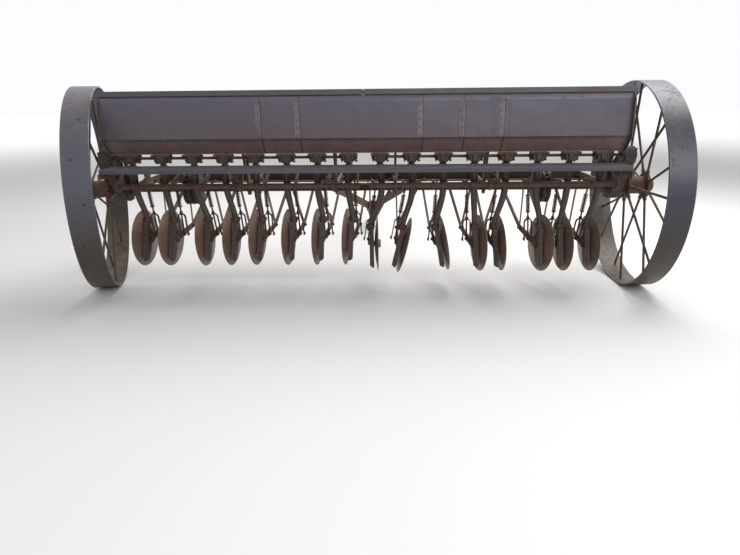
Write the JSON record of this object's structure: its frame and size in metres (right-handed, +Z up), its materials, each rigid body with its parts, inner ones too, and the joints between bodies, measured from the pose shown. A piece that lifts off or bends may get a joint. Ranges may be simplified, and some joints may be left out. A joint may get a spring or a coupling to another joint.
{
  "type": "seed drill",
  "caption": "Old grain drill with a long seed box, disc openers in rows, steel wheels and an A-shaped tongue.",
  "frame": {"origin": "on the ground under the middle of the machine's box of extents", "axes": "+X along the seed box and the axle, +Y towards the tongue's tip, the way it is towed, +Z up"},
  "size_m": [3.5714, 2.7055, 1.2],
  "materials": {
    "rim": "weathered steel, grey-brown rust",
    "hub": "remains of red paint over rust",
    "box_sheet": "rusted sheet with thin remains of paint",
    "box_end": "weathered dark iron",
    "lid_sheet": "rusted sheet, dark olive-brown",
    "board": "bare weathered plank",
    "seed_tube": "dull rusted steel ribbon",
    "disc": "rusted disc blade",
    "casting": "rusted casting",
    "bar": "rusted rolled bar"
  },
  "bodies": {
    "root": {"axle": "bar", "gear_cases": "casting", "lift_clutches": "casting", "frame_brackets": "bar", "front_rail": "bar", "pivot_rod": "bar", "hitch_brace_left": "bar", "hitch_brace_right": "bar", "tongue": "bar", "box_rear": "box_sheet", "box_front": "box_sheet", "box_floor": "box_sheet", "box_end_left": "box_end", "box_end_right": "box_end", "hinge_rod": "bar", "footboard": "board", "feed_cups": "casting", "feed_shafts": "bar", "seed_tubes_left": "seed_tube", "seed_tubes_right": "seed_tube"},
    "wheel_left": {"wheel_rim_left": "rim", "wheel_hub_left": "hub"},
    "wheel_right": {"wheel_rim_right": "rim", "wheel_hub_right": "hub"},
    "lid_left": {"lid_left": "lid_sheet"},
    "lid_right": {"lid_right": "lid_sheet"},
    "openers_left": {"drawbars_left": "bar", "boots_left": "casting", "lift_rods_left": "bar"},
    "openers_right": {"drawbars_right": "bar", "boots_right": "casting", "lift_rods_right": "bar"},
    "rockshaft_left": {"rockshaft_left": "bar"},
    "rockshaft_right": {"rockshaft_right": "bar"},
    "disc_01": {"disc_01": "disc"},
    "disc_02": {"disc_02": "disc"},
    "disc_03": {"disc_03": "disc"},
    "disc_04": {"disc_04": "disc"},
    "disc_05": {"disc_05": "disc"},
    "disc_06": {"disc_06": "disc"},
    "disc_07": {"disc_07": "disc"},
    "disc_08": {"disc_08": "disc"},
    "disc_09": {"disc_09": "disc"},
    "disc_10": {"disc_10": "disc"},
    "disc_11": {"disc_11": "disc"},
    "disc_12": {"disc_12": "disc"},
    "disc_13": {"disc_13": "disc"},
    "disc_14": {"disc_14": "disc"},
    "disc_15": {"disc_15": "disc"},
    "disc_16": {"disc_16": "disc"}
  },
  "joints": [
    {"name": "wheel_left_turn", "type": "hinge", "parent": "root", "child": "wheel_left", "pos_m": [-1.55734, -0.75606, 0.6], "axis": [-0.9636, -0.2672, 0], "continuous": true},
    {"name": "wheel_right_turn", "type": "hinge", "parent": "root", "child": "wheel_right", "pos_m": [1.6901, -0.72988, 0.6], "axis": [-1, 0, 0], "continuous": true},
    {"name": "lid_left_hinge", "type": "hinge", "parent": "root", "child": "lid_left", "pos_m": [-0.6579, -0.64187, 1.143], "axis": [-1, 0, 0], "range_deg": [0, 105]},
    {"name": "lid_right_hinge", "type": "hinge", "parent": "root", "child": "lid_right", "pos_m": [0.8021, -0.64187, 1.143], "axis": [-1, 0, 0], "range_deg": [0, 105]},
    {"name": "openers_left_lift", "type": "hinge", "parent": "root", "child": "openers_left", "pos_m": [-0.6391, -0.28987, 0.545], "axis": [1, 0, 0], "range_deg": [0, 15], "deforming": ["seed_tubes_left"]},
    {"name": "openers_right_lift", "type": "hinge", "parent": "root", "child": "openers_right", "pos_m": [0.7833, -0.28987, 0.545], "axis": [1, 0, 0], "range_deg": [-5, 10], "deforming": ["seed_tubes_right"]},
    {"name": "rockshaft_left_turn", "type": "hinge", "parent": "root", "child": "rockshaft_left", "pos_m": [-0.6579, -0.95988, 0.64], "axis": [1, 0, 0], "range_deg": [-59.25, 0]},
    {"name": "rockshaft_right_turn", "type": "hinge", "parent": "root", "child": "rockshaft_right", "pos_m": [0.8021, -0.95988, 0.64], "axis": [1, 0, 0], "range_deg": [-39.5, 19.75]},
    {"name": "disc_01_turn", "type": "hinge", "parent": "openers_left", "child": "disc_01", "pos_m": [-1.25419, -0.84526, 0.315], "axis": [-0.9961, 0.0881, 0], "continuous": true},
    {"name": "disc_02_turn", "type": "hinge", "parent": "openers_left", "child": "disc_02", "pos_m": [-1.09423, -0.84521, 0.315], "axis": [-0.9928, 0.1201, 0], "continuous": true},
    {"name": "disc_03_turn", "type": "hinge", "parent": "openers_left", "child": "disc_03", "pos_m": [-0.88548, -0.84506, 0.31415], "axis": [-0.9972, 0.0668, -0.0349], "continuous": true},
    {"name": "disc_04_turn", "type": "hinge", "parent": "openers_left", "child": "disc_04", "pos_m": [-0.72277, -0.84529, 0.315], "axis": [-0.9958, 0.0917, 0], "continuous": true},
    {"name": "disc_05_turn", "type": "hinge", "parent": "openers_left", "child": "disc_05", "pos_m": [-0.5654, -0.84504, 0.31544], "axis": [-0.9917, 0.1272, 0.0175], "continuous": true},
    {"name": "disc_06_turn", "type": "hinge", "parent": "openers_left", "child": "disc_06", "pos_m": [-0.37609, -0.8453, 0.315], "axis": [-0.9942, 0.1077, 0], "continuous": true},
    {"name": "disc_07_turn", "type": "hinge", "parent": "openers_left", "child": "disc_07", "pos_m": [-0.20028, -0.84528, 0.315], "axis": [-0.9938, 0.1112, 0], "continuous": true},
    {"name": "disc_08_turn", "type": "hinge", "parent": "openers_left", "child": "disc_08", "pos_m": [-0.02506, -0.84519, 0.31544], "axis": [-0.9932, 0.1148, 0.0175], "continuous": true},
    {"name": "disc_09_turn", "type": "hinge", "parent": "openers_right", "child": "disc_09", "pos_m": [0.12417, -0.82193, 0.26757], "axis": [0.9994, 0.0348, 0.003], "continuous": true},
    {"name": "disc_10_turn", "type": "hinge", "parent": "openers_right", "child": "disc_10", "pos_m": [0.2852, -0.8212, 0.26234], "axis": [0.9657, 0.0442, -0.2559], "continuous": true},
    {"name": "disc_11_turn", "type": "hinge", "parent": "openers_right", "child": "disc_11", "pos_m": [0.52291, -0.823, 0.27131], "axis": [0.9849, 0.0906, 0.1476], "continuous": true},
    {"name": "disc_12_turn", "type": "hinge", "parent": "openers_right", "child": "disc_12", "pos_m": [0.73473, -0.82169, 0.26759], "axis": [0.9849, 0.1724, 0.0151], "continuous": true},
    {"name": "disc_13_turn", "type": "hinge", "parent": "openers_right", "child": "disc_13", "pos_m": [0.85985, -0.82295, 0.26885], "axis": [0.9958, 0.0708, 0.0587], "continuous": true},
    {"name": "disc_14_turn", "type": "hinge", "parent": "openers_right", "child": "disc_14", "pos_m": [1.11145, -0.81987, 0.26609], "axis": [0.9743, 0.2196, -0.0508], "continuous": true},
    {"name": "disc_15_turn", "type": "hinge", "parent": "openers_right", "child": "disc_15", "pos_m": [1.23843, -0.82305, 0.26748], "axis": [0.9928, 0.1196, 0.0105], "continuous": true},
    {"name": "disc_16_turn", "type": "hinge", "parent": "openers_right", "child": "disc_16", "pos_m": [1.39641, -0.82308, 0.26747], "axis": [0.9964, 0.0843, 0.0074], "continuous": true}
  ],
  "couplings": [
    {"joint": "rockshaft_left_turn", "follows": "openers_left_lift", "ratio": -3.95},
    {"joint": "rockshaft_right_turn", "follows": "openers_right_lift", "ratio": -3.95}
  ]
}
